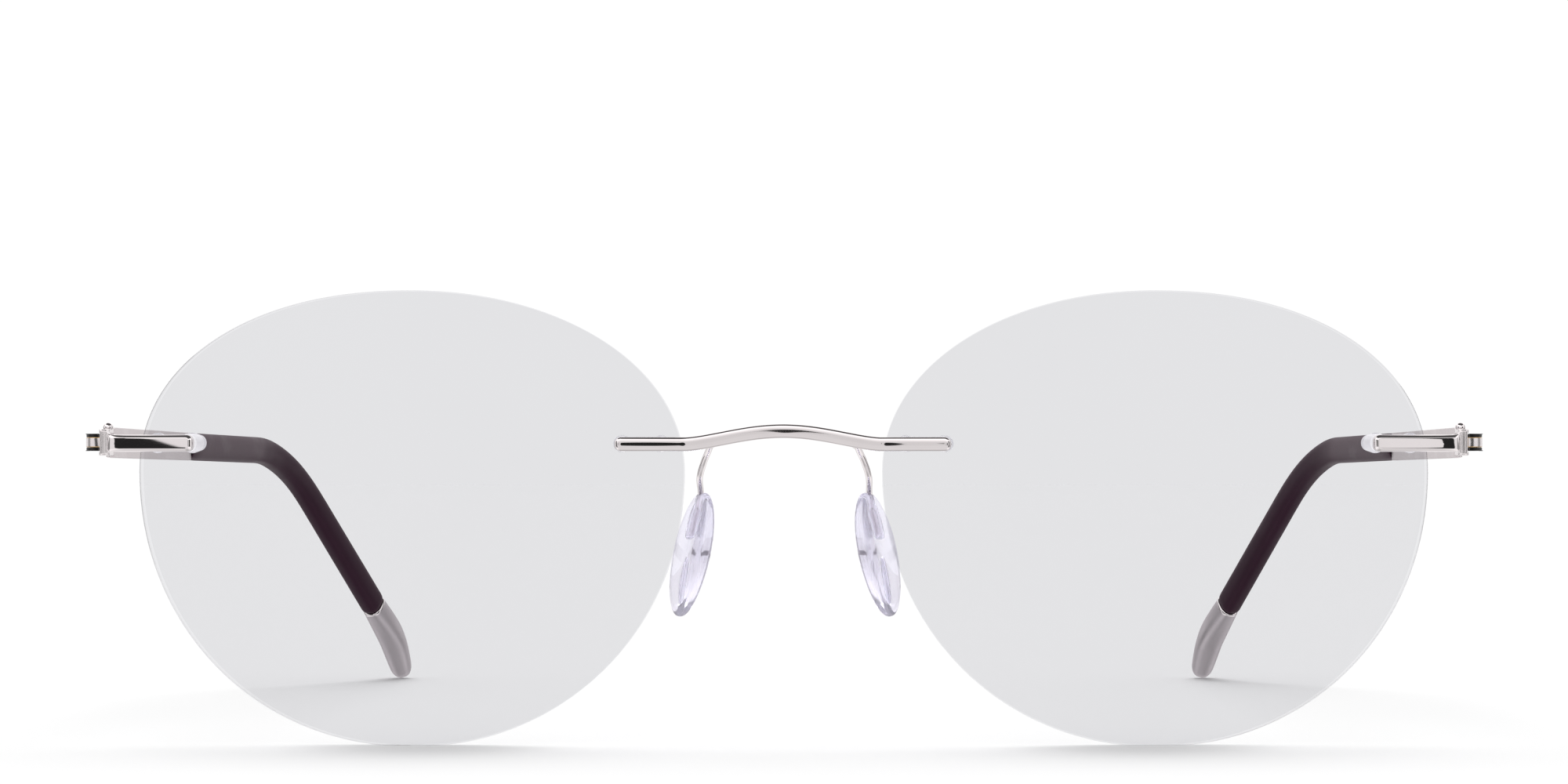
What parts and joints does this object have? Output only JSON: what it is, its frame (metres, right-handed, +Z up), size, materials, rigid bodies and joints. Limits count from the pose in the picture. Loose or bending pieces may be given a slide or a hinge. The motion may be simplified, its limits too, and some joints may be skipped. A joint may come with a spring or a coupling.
{
  "type": "rimless spectacles",
  "caption": "Rimless spectacles: drilled oval lenses, slim polished bridge and end bars, silicone nose pads, and sleeved temples that fold on pin hinges.",
  "frame": {"origin": "middle of the footprint on the table: on the mirror plane, halfway between the lens apexes and the temple tips, at the height of the lens bottoms", "axes": "+X to the right seen from the front, which is the wearer's left; +Y from the lenses towards the wearer and the temple tips; +Z up"},
  "size_m": [0.1372, 0.1388, 0.0443],
  "materials": {
    "lens": "clear uncoated demo lens with a polished edge",
    "polished_metal": "mirror-polished silver plate on titanium",
    "satin_titanium": "satin brushed titanium",
    "plum_sleeve": "soft matte dark plum plastic",
    "clear_plastic": "clear polished plastic bushing",
    "clear_silicone": "clear soft silicone with a faint bluish tint"
  },
  "bodies": {
    "front": {"bridge": "polished_metal", "lens_right": "lens", "lens_left": "lens", "end_piece_right": "polished_metal", "end_piece_left": "polished_metal", "end_plug_right": "clear_plastic", "end_plug_left": "clear_plastic", "bridge_plug_right": "clear_plastic", "bridge_plug_left": "clear_plastic", "hinge_pin_right": "polished_metal", "hinge_pin_left": "polished_metal", "pad_arm_right": "polished_metal", "pad_arm_left": "polished_metal", "nose_pad_right": "clear_silicone", "nose_pad_left": "clear_silicone"},
    "temple_body_right": {"temple_right": "satin_titanium", "temple_sleeve_right": "plum_sleeve", "temple_tip_right": "satin_titanium"},
    "temple_body_left": {"temple_left": "satin_titanium", "temple_sleeve_left": "plum_sleeve", "temple_tip_left": "satin_titanium"}
  },
  "joints": [
    {"name": "fold_left", "type": "hinge", "parent": "front", "child": "temple_body_left", "pos_m": [0.0664, -0.06103, 0.0297], "axis": [0, 0, 1], "range_deg": [0, 82]},
    {"name": "fold_right", "type": "hinge", "parent": "front", "child": "temple_body_right", "pos_m": [-0.0664, -0.06103, 0.0297], "axis": [0, 0, -1], "range_deg": [0, 66]}
  ]
}
